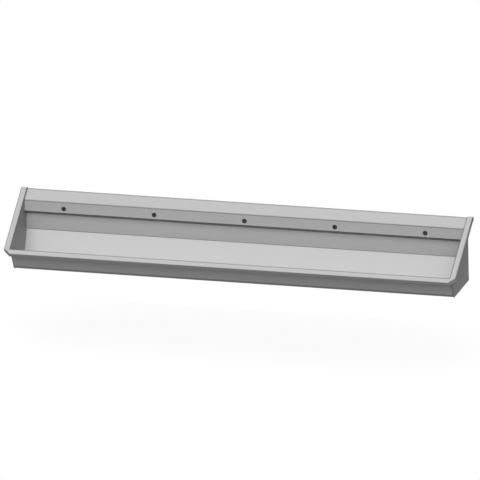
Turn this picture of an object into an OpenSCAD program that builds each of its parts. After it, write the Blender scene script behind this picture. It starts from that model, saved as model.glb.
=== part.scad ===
// Wall-hung wash trough in folded stainless sheet, with five tap holes.
// X runs along the trough, Y = 0 is the wall and the trough stands out towards -Y.
// The modules are drawn with Z = 0 at the underside of the floor, and at_datum() then
// lowers each one so that the origin is on the wall, at the height of the wall screws.

/* [Overall] */
// Length over the turned-down edges of the end rims
overall_l = 3000; // [2800:10:3600]
// Depth from the wall to the face of the front rim
overall_d = 505; // [490:1:540]
// Height from the underside of the floor to the rim at the wall
overall_h = 425; // [415:1:450]

/* [Sheet] */
// Thickness of the stainless sheet
sheet = 1.5; // [1.2:0.1:1.8]
// Inside radius of every fold
fold_r = 1.5; // [1:0.1:2.5]
// Air between loose pieces that lie flat on each other
lay_gap = 0.05; // [0.02:0.01:0.1]

/* [Rim] */
// Slope of the rim and of the tap panel above the horizontal
rim_angle = 31; // [29:0.5:33]
// Width of the rim along the front and both ends
rim_w = 40; // [32:1:48]
// Depth of the rim's turned-down edge
rim_drop = 27; // [18:1:34]
// Depth of the level strip of rim against the wall
rim_land = 25; // [20:1:32]
// Reach of the end panels below the floor
end_foot = 6; // [2:0.5:8]

/* [Trough] */
// Wall to the upright back of the trough
back_gap = 46; // [42:1:56]
// Wall to the rear edge of the floor
floor_gap = 120; // [114:1:126]
// Height of the foot of the upright back
back_foot_h = 160; // [140:1:180]

/* [Tap panel] */
// Wall to the face that the taps stand on
tap_face_gap = 92; // [86:1:100]
// Height of the tap face
tap_face_h = 75; // [68:1:80]
// Height of the undercut below the tap face
undercut_h = 29; // [24:1:34]
// Drop of the panel's slope below the rim's slope
panel_drop = 15; // [12:0.5:16]
// Drop of the panel's level strip below the rim's level strip
panel_land_drop = 6; // [4:0.5:7]
// Depth of the hook at the panel's rear edge
hook_h = 15; // [10:1:18]
// Gap between each end of the panel and the end panel
panel_end_gap = 0.5; // [0.3:0.1:1]
// Gap that the hook has to the wall and to its rail
hook_gap = 0.5; // [0.3:0.1:0.8]
// Gap between the undercut's edge and the upright back
undercut_gap = 1; // [0.8:0.1:2]

/* [Tap holes] */
// Number of tap holes
tap_count = 5; // [3:2:5]
// Spacing of the tap holes
tap_pitch = 600; // [560:5:640]
// Diameter of a tap hole
tap_d = 32; // [26:0.5:35]
// Foot of the tap face to the tap holes' centres
tap_hole_h = 28; // [26:1:36]
// Length of a backing plate
plate_l = 90; // [70:1:110]
// Height of a backing plate
plate_h = 40; // [36:1:44]
// Thickness of a backing plate
plate_t = 3; // [2:0.5:5]

/* [Panel screws] */
// Number of screws in the undercut
screw_count = 6; // [4:2:6]
// Spacing of the screws
screw_pitch = 540; // [500:5:560]
// Diameter of a screw's shank
screw_d = 5; // [4:0.5:6]
// Diameter of a screw's head
screw_head_d = 9.5; // [8:0.5:11]
// Height of a screw's head
screw_head_h = 3; // [2:0.5:4]
// Length of a screw's shank
screw_l = 12; // [11:0.5:16]
// Clearance all round a shank in its hole
screw_clear = 0.25; // [0.15:0.05:0.4]
// Clearance all round a shank in its nut
thread_clear = 0.05; // [0.02:0.01:0.1]
// Width across the flats of a nut
nut_flats = 8; // [8:0.5:10]
// Height of a nut
nut_h = 4; // [3:0.5:5]
// Upright back to the screws, along the undercut
screw_inset = 20; // [18:0.5:22]
// Length of the flange that takes the screws
flange_l = 30; // [28:1:36]
// Width of the sealing strip
seal_w = 10; // [8:0.5:12]
// Thickness of the sealing strip
seal_t = 2; // [1:0.5:3]

/* [Top rail] */
// Depth of the rail under the panel's slope
rail_flange_l = 28; // [20:1:36]
// Underside of the panel's level strip to the joggle
rail_neck_h = 26; // [22:1:30]
// Height of the joggle
joggle_h = 4; // [3:0.5:6]
// Height of the part of the rail against the wall, which also closes the tap box at the back
rail_wall_h = 126; // [100:1:130]
// Joggle to the rail's bolt holes
rail_hole_drop = 18; // [14:1:30]
// Spacing of the rail's bolt holes
rail_hole_pitch = 600; // [560:10:640]
// Number of the rail's bolt holes
rail_hole_count = 4; // [2:2:4]

/* [Wall fixings] */
// Diameter of the holes for the wall bolts
wall_hole_d = 11; // [9:0.5:13]
// Gap between the rail and the brackets and flanges below it
fixing_gap = 6.5; // [3:0.5:12]
// Width of the end panels' rear flange
end_flange_w = 32; // [28:1:40]
// Lower end of the end panels' rear flange above the floor
end_flange_low = 20; // [15:1:30]
// Distance of the flange's holes from its ends
end_hole_inset = 40; // [25:1:60]

/* [Wall brackets] */
// Number of wall brackets
bracket_count = 4; // [2:2:4]
// Spacing of the wall brackets
bracket_pitch = 600; // [580:10:620]
// Thickness of a bracket's plates
bracket_t = 4; // [3:0.5:6]
// Width of a bracket's wall plate and of its seat
bracket_w = 44; // [36:1:50]
// Lower end of a bracket's wall plate below the floor
bracket_low = 84; // [74:1:90]
// Lower end of a bracket's web at the wall, below the floor
web_low = 50; // [40:1:54]
// Upper end of a bracket's web, above the floor
web_top = 218; // [200:1:220]
// Distance of the bolt holes from the ends of a bracket's wall plate
bracket_hole_inset = 17; // [15:1:20]
// Wall to the tip of a bracket's arm
arm_l = 280; // [240:1:290]
// Depth of the arm at its tip
arm_tip_h = 14; // [12:1:20]
// Diameter of the hole for the supply pipe
pipe_hole_d = 36; // [24:1:44]
// Wall to the centre of the pipe hole
pipe_hole_gap = 38; // [34:1:42]
// Height of the pipe hole above the floor
pipe_hole_h = 60; // [50:1:90]

/* [Floor stiffener] */
// Wall to the middle of the stiffener
stiffener_gap = 324; // [318:1:330]
// Width of the stiffener's hat
stiffener_w = 26; // [20:1:30]
// Depth of the stiffener
stiffener_h = 9; // [7:0.5:11]
// Width of each of the stiffener's feet
stiffener_foot = 8; // [6:0.5:10]
// Gap between each end of the stiffener and the end panel
stiffener_end_gap = 30; // [10:1:60]

/* [Sound pads] */
// Spacing of the sound pads, which leave the middle to the waste
pad_pitch = 600; // [580:5:605]
// Length of a pad
pad_l = 460; // [300:10:500]
// Width of a pad
pad_w = 130; // [100:5:140]
// Thickness of a pad
pad_t = 3; // [2:0.5:4]
// Wall to the middle of the pads
pad_gap = 205; // [200:1:215]

/* [Waste] */
// Wall to the waste's centre
waste_gap = 200; // [195:1:215]
// Depth of the pressed dish round the waste
dish_h = 6; // [4:0.5:8]
// Radius of the dish at the floor
dish_r = 64; // [60:1:68]
// Radius of the dish's flat bottom
dish_flat_r = 48; // [45:1:52]
// Diameter of the hole in the dish
waste_hole_d = 52; // [50:0.5:54]
// Radius of the waste's flange
waste_flange_r = 42.5; // [40:0.5:45]
// Thickness of the waste's flange
waste_flange_t = 3; // [2.5:0.1:4]
// Outside diameter of the tail
tail_d = 47.8; // [46:0.1:48.6]
// Bore of the tail
tail_bore_d = 40; // [38:0.5:42]
// Length of the waste below its flange
tail_l = 44; // [40:1:48]
// Gap between the back nut and the groove below it
groove_gap = 1; // [0.5:0.5:2]
// Width of the groove that ends the tail's lower thread
groove_w = 2; // [1.5:0.5:3]
// Depth of that groove
groove_h = 1.2; // [0.8:0.1:1.5]
// Thickness of the upper gasket
top_gasket_t = 1.5; // [1:0.1:2]
// Thickness of the lower gasket
bottom_gasket_t = 3; // [2:0.1:4]
// Outside radius of the lower gasket
bottom_gasket_r = 37; // [34:0.5:40]
// Width across the corners of the back nut
waste_nut_d = 68; // [64:1:74]
// Height of the back nut
waste_nut_h = 9; // [7:0.5:12]
// Clearance all round the tail in its gaskets and nut
tail_clear = 0.2; // [0.1:0.05:0.4]

/* [Strainer] */
// Radius of the basket's flange
basket_flange_r = 29; // [26:0.5:32]
// Thickness of the basket's sheet
basket_t = 1.2; // [0.8:0.1:1.4]
// Clearance round the basket and its flange
basket_clear = 0.5; // [0.3:0.1:0.8]
// Depth of the basket below its flange
basket_h = 22; // [16:1:28]
// Diameter of a hole in the basket's floor
strain_hole_d = 3.6; // [2.5:0.1:4]
// Spacing of those holes
strain_pitch = 6; // [5.5:0.1:7]
// Number of holes that each ring has more than the ring inside it
ring_step = 6; // [4:1:6]
// Number of slots round the basket
slot_count = 12; // [8:1:14]
// Width of a slot
slot_w = 3; // [2:0.1:4]
// Distance of a slot from the top and bottom of the basket
slot_margin = 4; // [3:0.5:6]
// Radius of the knob's stem
stem_r = 2.5; // [2:0.1:3]
// Radius of the knob
knob_r = 6; // [5:0.1:7]
// Height of the knob's centre above the basket's flange
knob_h = 11; // [8:0.5:14]

/* [Earthing] */
// Wall to the earthing tag
earth_gap = 132; // [128:1:136]
// Width of the tag
earth_w = 25; // [20:1:30]
// Depth of the tag
earth_h = 24; // [20:1:30]
// Thickness of the tag
earth_t = 2; // [1.5:0.1:3]
// Diameter of the earthing bolt
earth_bolt_d = 6; // [5:0.5:7]
// Length of the earthing bolt's shank
earth_bolt_l = 18; // [14:1:22]
// Height of the earthing bolt's head
earth_head_h = 4; // [3:0.5:5]
// Width across the flats of the earthing bolt's head and nut
earth_flats = 10; // [9:0.5:12]
// Height of the earthing nut
earth_nut_h = 5; // [4:0.5:7]
/* [Hidden] */

$fn = 28;
// Sides of the round parts of the waste and strainer
waste_sides = 32;
// Sides of the small holes and shanks
small_sides = 14;
// Flats in the arc of one fold
fold_steps = 5;
// How far a cutting tool runs past what it cuts
past = 1;
// Depth of the sheet that a run of rim shares with the panel it is folded from
lap = 8;
// Length past its end from which a mitred run is cut
mitre_spare = 60;

// Half the length inside the end panels
inner_x = overall_l / 2 - rim_w;
// Outside radius of a fold
fold_out = fold_r + sheet;

// Directions in the plane of a cross-section, as [y, z]
up_slope = [cos(rim_angle), sin(rim_angle)];
off_slope = [-sin(rim_angle), cos(rim_angle)];

// Corners of the cross-section, as [y, z], on the faces that show
rim_back = [-rim_land, overall_h];
slope_l = (overall_d - rim_land) / cos(rim_angle);
rim_front = rim_back - slope_l * up_slope;
rim_lip = rim_front - rim_drop * off_slope;
front_top = rim_front + rim_w * up_slope;
front_foot = front_top - (front_top[1] - sheet) / cos(rim_angle) * off_slope;
floor_back = [-floor_gap, sheet];
back_foot = [-back_gap, back_foot_h];

function rim_height(y) = overall_h + (y + rim_land) * tan(rim_angle);

// Tap panel, from its hook at the wall down to the undercut's edge
panel_land_z = overall_h - panel_land_drop;
panel_land_y = -rim_land - (panel_land_drop - panel_drop) / tan(rim_angle);
tap_top = [-tap_face_gap, rim_height(-tap_face_gap) - panel_drop];
tap_foot = tap_top - [0, tap_face_h];
undercut_back = [-back_gap, tap_foot[1] - undercut_h];
tap_hole_z = tap_foot[1] + tap_hole_h;
under = unit(tap_foot - undercut_back);
off_under = [under[1], -under[0]];
panel_path = [
    [-hook_gap, panel_land_z - hook_h],
    [-hook_gap, panel_land_z],
    [panel_land_y, panel_land_z],
    tap_top,
    tap_foot,
    undercut_back + undercut_gap / -under[0] * under
];

// Flange of the trough that carries the undercut on its sealing strip
flange_foot = undercut_back + [0, (sheet + seal_t) / off_under[1]];
flange_tip = flange_foot + flange_l * under;
basin_path = [flange_tip, flange_foot, back_foot, floor_back, front_foot, front_top, rim_front, rim_lip];

// Rail behind and below the tap panel's rear edge
rail_y = -hook_gap - sheet - hook_gap;
rail_top_z = panel_land_z - sheet - lay_gap;
rail_bend = moved_corner(panel_path, 2, sheet + lay_gap);
rail_joggle_z = panel_land_z - sheet - rail_neck_h;
rail_foot_z = rail_joggle_z - joggle_h - rail_wall_h;
rail_path = [
    [0, rail_foot_z],
    [0, rail_joggle_z - joggle_h],
    [rail_y, rail_joggle_z],
    [rail_y, rail_top_z],
    rail_bend,
    rail_bend - rail_flange_l * up_slope
];
rail_hole_z = rail_joggle_z - joggle_h - rail_hole_drop;
// Upper end of the brackets' wall plates and of the end panels' rear flanges
fixing_top_z = rail_foot_z - fixing_gap;

// Corners of the trough's hidden faces, which the brackets follow
floor_back_under = moved_corner(basin_path, 3, sheet);
back_foot_behind = moved_corner(basin_path, 2, sheet);

// Heights in the waste, on the faces that touch
dish_z = sheet - dish_h;
waste_flange_z = dish_z + top_gasket_t;
waste_top_z = waste_flange_z + waste_flange_t;
tail_end_z = waste_flange_z - tail_l;
bottom_gasket_z = dish_z - sheet - bottom_gasket_t;
waste_nut_z = bottom_gasket_z - waste_nut_h;
groove_z = waste_nut_z - groove_gap;
seat_z = waste_top_z - basket_t - basket_clear;
basket_r = tail_bore_d / 2 - basket_clear;

function unit(v) = v / norm(v);
function left_of(v) = [-v[1], v[0]];
function turned(v, a) = [v[0] * cos(a) - v[1] * sin(a), v[0] * sin(a) + v[1] * cos(a)];
function reversed(list) = [for (i = [len(list) - 1:-1:0]) list[i]];
function spread(i, count, pitch) = (i - (count - 1) / 2) * pitch;

// Direction to the left of the stretch of a path that ends at point i
function left_before(path, i) = left_of(unit(path[i] - path[i - 1]));
// Where corner i of a path goes when the whole path moves to its left
function moved_corner(path, i, distance) =
    let (before = left_before(path, i), after = left_before(path, i + 1))
    path[i] + distance * (before + after) / (1 + before * after);
// Arc of one fold. share is 0 on the path's own face and 1 on the face a sheet to its left
function fold_arc(path, i, share) =
    let (
        before = left_before(path, i),
        after = left_before(path, i + 1),
        turn = atan2(before[0] * after[1] - before[1] * after[0], before * after),
        reach = turn > 0 ? fold_out : -fold_r,
        centre = moved_corner(path, i, reach)
    )
    [for (k = [0:fold_steps]) centre - (reach - share * sheet) * turned(before, turn * k / fold_steps)];
// One face of a folded strip
function fold_face(path, share) = [
    for (i = [0:len(path) - 1]) each
        i == 0 ? [path[0] + share * sheet * left_before(path, 1)]
        : i == len(path) - 1 ? [path[i] + share * sheet * left_before(path, i)]
        : fold_arc(path, i, share)
];

// Cross-section of a folded strip, one sheet thick, to the left of its path
module folded(path) {
    polygon(concat(fold_face(path, 0), reversed(fold_face(path, 1))));
}

// Carries a [y, z] cross-section along X, half to each side
module along(length) {
    rotate([90, 0, 90]) linear_extrude(length, center = true) children();
}

// Plane of the sloping rim: X along the front edge, Y up the slope, Z off the surface
module on_rim() {
    translate([0, rim_front[0], rim_front[1]]) rotate([rim_angle, 0, 0]) children();
}

// Plane of the undercut at its screws: Z runs up into the tap box
module at_screws() {
    foot = undercut_back + screw_inset * under;
    for (i = [0:screw_count - 1])
        translate([spread(i, screw_count, screw_pitch), foot[0], foot[1]])
            rotate([-atan2(off_under[0], off_under[1]), 0, 0]) children();
}

module at_tap(i) {
    translate([spread(i, tap_count, tap_pitch), -tap_face_gap, tap_hole_z]) rotate([-90, 0, 0]) children();
}

module at_waste() {
    translate([0, -waste_gap, 0]) children();
}

module at_datum() {
    translate([0, 0, -rail_hole_z]) children();
}

// Round hole along Y through a plate whose faces are at the wall
module wall_hole(x, z, depth) {
    translate([x, past, z]) rotate([90, 0, 0]) cylinder(d = wall_hole_d, h = depth + 2 * past);
}

// ---- Sheet metal -------------------------------------------------------------------

module waste_dish() {
    rotate_extrude($fn = waste_sides) folded([
        [dish_r, sheet],
        [dish_flat_r + dish_h, sheet],
        [dish_flat_r, dish_z],
        [waste_hole_d / 2, dish_z]
    ]);
}

module trough_basin() color("silver") at_datum() {
    difference() {
        along(2 * inner_x) folded(basin_path);
        at_screws() cylinder(d = screw_d + 2 * screw_clear, h = flange_l, $fn = small_sides);
        at_waste() translate([0, 0, -past]) cylinder(r = dish_r, h = sheet + 2 * past);
    }
    at_waste() waste_dish();
}

// Front half of space at the mitre between the sloping and the level rim
module ahead_of_mitre() {
    reach = 2 * overall_d;
    translate([0, rim_back[0], rim_back[1]]) rotate([rim_angle / 2, 0, 0])
        translate([0, -reach, -reach / 2]) cube([overall_l, reach, reach]);
}

// Section of an end rim: turned-down edge, top and the start of the end panel
module rim_section() {
    outer_x = inner_x + rim_w;
    folded([[outer_x, -rim_drop], [outer_x, 0], [inner_x, 0], [inner_x, -fold_out - lap]]);
}

module sloping_rim() {
    intersection() {
        on_rim() translate([0, slope_l + mitre_spare, 0]) rotate([90, 0, 0])
            linear_extrude(slope_l + mitre_spare - rim_w) rim_section();
        ahead_of_mitre();
    }
}

module level_rim() {
    difference() {
        translate([0, 0, overall_h]) rotate([90, 0, 0]) linear_extrude(rim_land + mitre_spare) rim_section();
        ahead_of_mitre();
    }
}

// Cut corner at the front, with its own turned-down edge
module rim_corner() {
    edge_l = rim_w * sqrt(2);
    flat_l = edge_l / 4;
    fold_back = fold_out * sqrt(2);
    on_rim() {
        translate([0, 0, -sheet]) linear_extrude(sheet)
            polygon([[inner_x, fold_back], [inner_x, rim_w], [inner_x + rim_w - fold_back, rim_w]]);
        intersection() {
            translate([inner_x + rim_w / 2, rim_w / 2, 0]) rotate([0, 0, 45]) rotate([90, 0, 90])
                linear_extrude(edge_l + 2 * rim_drop, center = true)
                    folded([[flat_l, 0], [0, 0], [0, -rim_drop]]);
            // Stops at the front rim's end and where the side rim begins
            translate([inner_x, -rim_w, -rim_drop - past]) cube([2 * rim_w, 2 * rim_w, rim_drop + 2 * past]);
        }
    }
}

// Sheet between the folded rim, the wall and the underside
module end_web() {
    top_drop = fold_out + lap / 2;
    front = front_top - sheet * up_slope;
    foot_y = front[0] + (front[1] + end_foot) * tan(rim_angle);
    relief = 2 * fold_out;
    translate([inner_x + sheet / 2, 0, 0]) along(sheet) polygon([
        front - sheet * off_slope,
        front_top - sheet * off_slope,
        front_top - top_drop * off_slope,
        rim_back - top_drop * off_slope,
        [0, overall_h - top_drop],
        [0, fixing_top_z],
        [-relief, fixing_top_z],
        [-relief, end_flange_low],
        [0, end_flange_low],
        [0, -end_foot],
        [foot_y, -end_foot]
    ]);
}

// Flange folded inwards against the wall, with its bolt holes
module end_flange() {
    outside = inner_x + sheet;
    difference() {
        translate([0, 0, end_flange_low]) linear_extrude(fixing_top_z - end_flange_low)
            folded([[outside, -fold_out - lap], [outside, 0], [outside - end_flange_w, 0]]);
        for (z = [end_flange_low + end_hole_inset, fixing_top_z - end_hole_inset])
            wall_hole(outside - end_flange_w / 2, z, sheet);
    }
}

module end_panel() {
    sloping_rim();
    level_rim();
    rim_corner();
    end_web();
    end_flange();
}

module left_end_panel() color("silver") at_datum() mirror([1, 0, 0]) end_panel();

module right_end_panel() color("silver") at_datum() end_panel();

module tap_panel() color("silver") at_datum() difference() {
    along(2 * (inner_x - panel_end_gap)) folded(panel_path);
    for (i = [0:tap_count - 1]) at_tap(i) translate([0, 0, -past]) cylinder(d = tap_d, h = sheet + 2 * past);
    at_screws() translate([0, 0, -past])
        cylinder(d = screw_d + 2 * screw_clear, h = sheet + 2 * past, $fn = small_sides);
}

module panel_seal() color("dimgray") at_datum() {
    start = undercut_back + (undercut_gap + fold_out) * under + (sheet + lay_gap) * off_under;
    thickness = (seal_t - 2 * lay_gap) * off_under;
    along(2 * (inner_x - panel_end_gap)) polygon([
        start,
        start + seal_w * under,
        start + seal_w * under + thickness,
        start + thickness
    ]);
}

module top_rail() color("silver") at_datum() difference() {
    along(2 * inner_x) folded(rail_path);
    for (i = [0:rail_hole_count - 1])
        wall_hole(spread(i, rail_hole_count, rail_hole_pitch), rail_hole_z, sheet);
}

module tap_plate(i) color("gray") at_datum() at_tap(i) difference() {
    translate([-plate_l / 2, -plate_h / 2, sheet]) cube([plate_l, plate_h, plate_t]);
    cylinder(d = tap_d, h = sheet + plate_t + past);
}

module floor_stiffener() color("silver") at_datum() {
    half = stiffener_w / 2;
    translate([0, -stiffener_gap, 0]) along(2 * (inner_x - stiffener_end_gap)) folded([
        [half + stiffener_foot, 0],
        [half, 0],
        [half, sheet - stiffener_h],
        [-half, sheet - stiffener_h],
        [-half, 0],
        [-half - stiffener_foot, 0]
    ]);
}

module sound_pad(i) color("dimgray") at_datum()
    translate([[-2, -1, 1, 2][i] * pad_pitch - pad_l / 2, -pad_gap - pad_w / 2, -pad_t])
        cube([pad_l, pad_w, pad_t]);

// ---- Wall brackets -----------------------------------------------------------------

module wall_bracket(i) color("gray") at_datum() translate([spread(i, bracket_count, bracket_pitch), 0, 0]) {
    difference() {
        along(bracket_t) polygon([
            [0, -web_low],
            [0, web_top],
            [-back_gap + sheet, web_top],
            back_foot_behind,
            floor_back_under,
            [-arm_l, 0],
            [-arm_l, -arm_tip_h]
        ]);
        translate([0, -pipe_hole_gap, pipe_hole_h]) rotate([0, 90, 0])
            cylinder(d = pipe_hole_d, h = bracket_t + 2 * past, center = true);
    }
    difference() {
        translate([-bracket_w / 2, -bracket_t, -bracket_low])
            cube([bracket_w, bracket_t, fixing_top_z + bracket_low]);
        for (z = [bracket_hole_inset - bracket_low, fixing_top_z - bracket_hole_inset])
            wall_hole(0, z, bracket_t);
    }
    translate([-bracket_w / 2, -arm_l, -bracket_t]) cube([bracket_w, arm_l - floor_gap, bracket_t]);
}

// ---- Waste and strainer ------------------------------------------------------------

module ring(inner_r, outer_r, height) {
    difference() {
        cylinder(r = outer_r, h = height);
        translate([0, 0, -past]) cylinder(r = inner_r, h = height + 2 * past);
    }
}

module waste_body() color("silver") at_datum() at_waste() rotate_extrude($fn = waste_sides) polygon([
    [tail_bore_d / 2, tail_end_z],
    [tail_d / 2, tail_end_z],
    [tail_d / 2, groove_z - groove_w],
    [tail_d / 2 - groove_h, groove_z - groove_w],
    [tail_d / 2 - groove_h, groove_z],
    [tail_d / 2, groove_z],
    [tail_d / 2, waste_flange_z],
    [waste_flange_r, waste_flange_z],
    [waste_flange_r, waste_flange_z + waste_flange_t / 2],
    [waste_flange_r - waste_flange_t, waste_top_z],
    [basket_flange_r + basket_clear, waste_top_z],
    [basket_flange_r + basket_clear, seat_z],
    [tail_bore_d / 2, seat_z]
]);

module waste_top_gasket() color("dimgray") at_datum() at_waste() translate([0, 0, dish_z])
    ring(waste_hole_d / 2, waste_flange_r, top_gasket_t);

module waste_bottom_gasket() color("dimgray") at_datum() at_waste() translate([0, 0, bottom_gasket_z])
    ring(tail_d / 2 + tail_clear, bottom_gasket_r, bottom_gasket_t);

module waste_nut() color("gold") at_datum() at_waste() translate([0, 0, waste_nut_z])
    difference() {
        cylinder(d = waste_nut_d, h = waste_nut_h, $fn = 6);
        translate([0, 0, -past]) cylinder(r = tail_d / 2 + tail_clear, h = waste_nut_h + 2 * past);
    }

// Perforated cup on a flat flange, with slots round it and a knob to lift it by
module strainer_basket() color("lightgray") at_datum() at_waste() translate([0, 0, seat_z]) {
    floor_r = basket_r - basket_t;
    rings = floor(floor_r / strain_pitch);
    difference() {
        rotate_extrude($fn = waste_sides) polygon([
            [0, -basket_h],
            [basket_r, -basket_h],
            [basket_r, 0],
            [basket_flange_r, 0],
            [basket_flange_r, basket_t],
            [floor_r, basket_t],
            [floor_r, basket_t - basket_h],
            [0, basket_t - basket_h]
        ]);
        for (k = [1:rings - 1], j = [0:ring_step * k - 1])
            rotate([0, 0, 360 * j / (ring_step * k)]) translate([strain_pitch * k, 0, -basket_h - past])
                cylinder(d = strain_hole_d, h = basket_t + 2 * past, $fn = small_sides);
        for (j = [0:slot_count - 1])
            rotate([0, 0, 360 * j / slot_count])
                translate([floor_r - past, -slot_w / 2, slot_margin - basket_h])
                    cube([basket_t + 2 * past, slot_w, basket_h - 2 * slot_margin]);
    }
    translate([0, 0, basket_t / 2 - basket_h]) cylinder(r = stem_r, h = basket_h + knob_h, $fn = small_sides);
    translate([0, 0, basket_t + knob_h]) sphere(r = knob_r);
}

// ---- Fasteners and earthing --------------------------------------------------------

module nut(flats, height, bore) {
    difference() {
        cylinder(d = flats / cos(30), h = height, $fn = 6);
        translate([0, 0, -past]) cylinder(d = bore, h = height + 2 * past, $fn = small_sides);
    }
}

module panel_screws() color("lightgray") at_datum() at_screws() {
    translate([0, 0, -screw_head_h]) cylinder(d = screw_head_d, h = screw_head_h);
    cylinder(d = screw_d, h = screw_l, $fn = small_sides);
}

module panel_nuts() color("lightgray") at_datum() at_screws()
    translate([0, 0, 2 * sheet + seal_t]) nut(nut_flats, nut_h, screw_d + 2 * thread_clear);

// Middle of the hole in the earthing tag, on the tag's front face
module at_earth_hole() {
    translate([0, -earth_gap, -earth_h / 2]) rotate([90, 0, 0]) children();
}

module earth_tag() color("silver") at_datum() difference() {
    translate([-earth_w / 2, -earth_gap, -earth_h]) cube([earth_w, earth_t, earth_h]);
    at_earth_hole() translate([0, 0, -earth_t - past])
        cylinder(d = earth_bolt_d + 2 * screw_clear, h = earth_t + 2 * past, $fn = small_sides);
}

module earth_bolt() color("lightgray") at_datum() at_earth_hole() {
    cylinder(d = earth_flats / cos(30), h = earth_head_h, $fn = 6);
    translate([0, 0, -earth_bolt_l]) cylinder(d = earth_bolt_d, h = earth_bolt_l, $fn = small_sides);
}

module earth_nut() color("lightgray") at_datum() at_earth_hole()
    translate([0, 0, -earth_t - earth_nut_h]) nut(earth_flats, earth_nut_h, earth_bolt_d + 2 * thread_clear);

trough_basin();
left_end_panel();
right_end_panel();
tap_panel();
panel_seal();
top_rail();
wall_bracket(0);  // wall_bracket_1
wall_bracket(1);  // wall_bracket_2
wall_bracket(2);  // wall_bracket_3
wall_bracket(3);  // wall_bracket_4
floor_stiffener();
tap_plate(0);  // tap_plate_1
tap_plate(1);  // tap_plate_2
tap_plate(2);  // tap_plate_3
tap_plate(3);  // tap_plate_4
tap_plate(4);  // tap_plate_5
sound_pad(0);  // sound_pad_1
sound_pad(1);  // sound_pad_2
sound_pad(2);  // sound_pad_3
sound_pad(3);  // sound_pad_4
waste_body();
waste_top_gasket();
waste_bottom_gasket();
waste_nut();
strainer_basket();
panel_screws();
panel_nuts();
earth_tag();
earth_bolt();
earth_nut();
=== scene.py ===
"""Looks of the wall-hung wash trough: finishes, welds, threads, fasteners, camera and studio.

Sizes are in metres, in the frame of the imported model: X runs along the trough, Y = 0 is the
wall with the trough towards -Y, and Z = 0 is the height of the rail's wall bolts.
"""

import logging
import math
from collections.abc import Callable, Iterator, Sequence
from contextlib import contextmanager
from dataclasses import dataclass
from enum import Enum
from functools import cached_property

import bmesh
import bpy
from mathutils import Matrix, Vector

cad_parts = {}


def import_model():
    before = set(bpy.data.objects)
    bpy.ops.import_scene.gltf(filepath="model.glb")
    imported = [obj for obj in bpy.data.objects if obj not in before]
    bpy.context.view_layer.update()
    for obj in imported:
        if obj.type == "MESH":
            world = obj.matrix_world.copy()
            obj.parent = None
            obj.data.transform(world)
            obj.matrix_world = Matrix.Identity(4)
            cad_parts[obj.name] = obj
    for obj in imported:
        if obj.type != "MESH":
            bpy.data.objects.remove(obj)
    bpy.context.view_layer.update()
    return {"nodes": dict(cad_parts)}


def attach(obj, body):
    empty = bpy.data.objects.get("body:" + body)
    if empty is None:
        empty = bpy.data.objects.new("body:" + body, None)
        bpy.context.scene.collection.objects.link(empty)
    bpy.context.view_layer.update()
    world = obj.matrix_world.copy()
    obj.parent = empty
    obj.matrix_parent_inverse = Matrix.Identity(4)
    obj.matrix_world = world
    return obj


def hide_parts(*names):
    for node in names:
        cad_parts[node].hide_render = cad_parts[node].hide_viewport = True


LOG = logging.getLogger("wash_trough")
MM = 0.001
QUARTER_TURN = math.pi / 2
MERGE_GAP = 0.001 * MM
ALONG = 0.9  # the least share of a direction along an axis that it counts as following
BLACK = (0.0, 0.0, 0.0)
WHITE = (1.0, 1.0, 1.0)

Point = tuple[float, float, float]
Flat = tuple[float, float]
Spots = float | Point
Socket = bpy.types.NodeSocket
Piece = bpy.types.Object


# ---- Sizes shared by the pieces ----


def moved(point: Flat, across: float, up: float) -> Flat:
    """Return a cross-section point moved by a distance across and one up."""
    return point[0] + across, point[1] + up


def unit(start: Flat, end: Flat) -> Flat:
    """Return the direction from one cross-section point to another."""
    length = math.dist(start, end)
    return (end[0] - start[0]) / length, (end[1] - start[1]) / length


def spaced(count: int, pitch: float) -> list[float]:
    """Return places at one pitch that lie evenly about 0."""
    return [(i - (count - 1) / 2) * pitch for i in range(count)]


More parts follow.
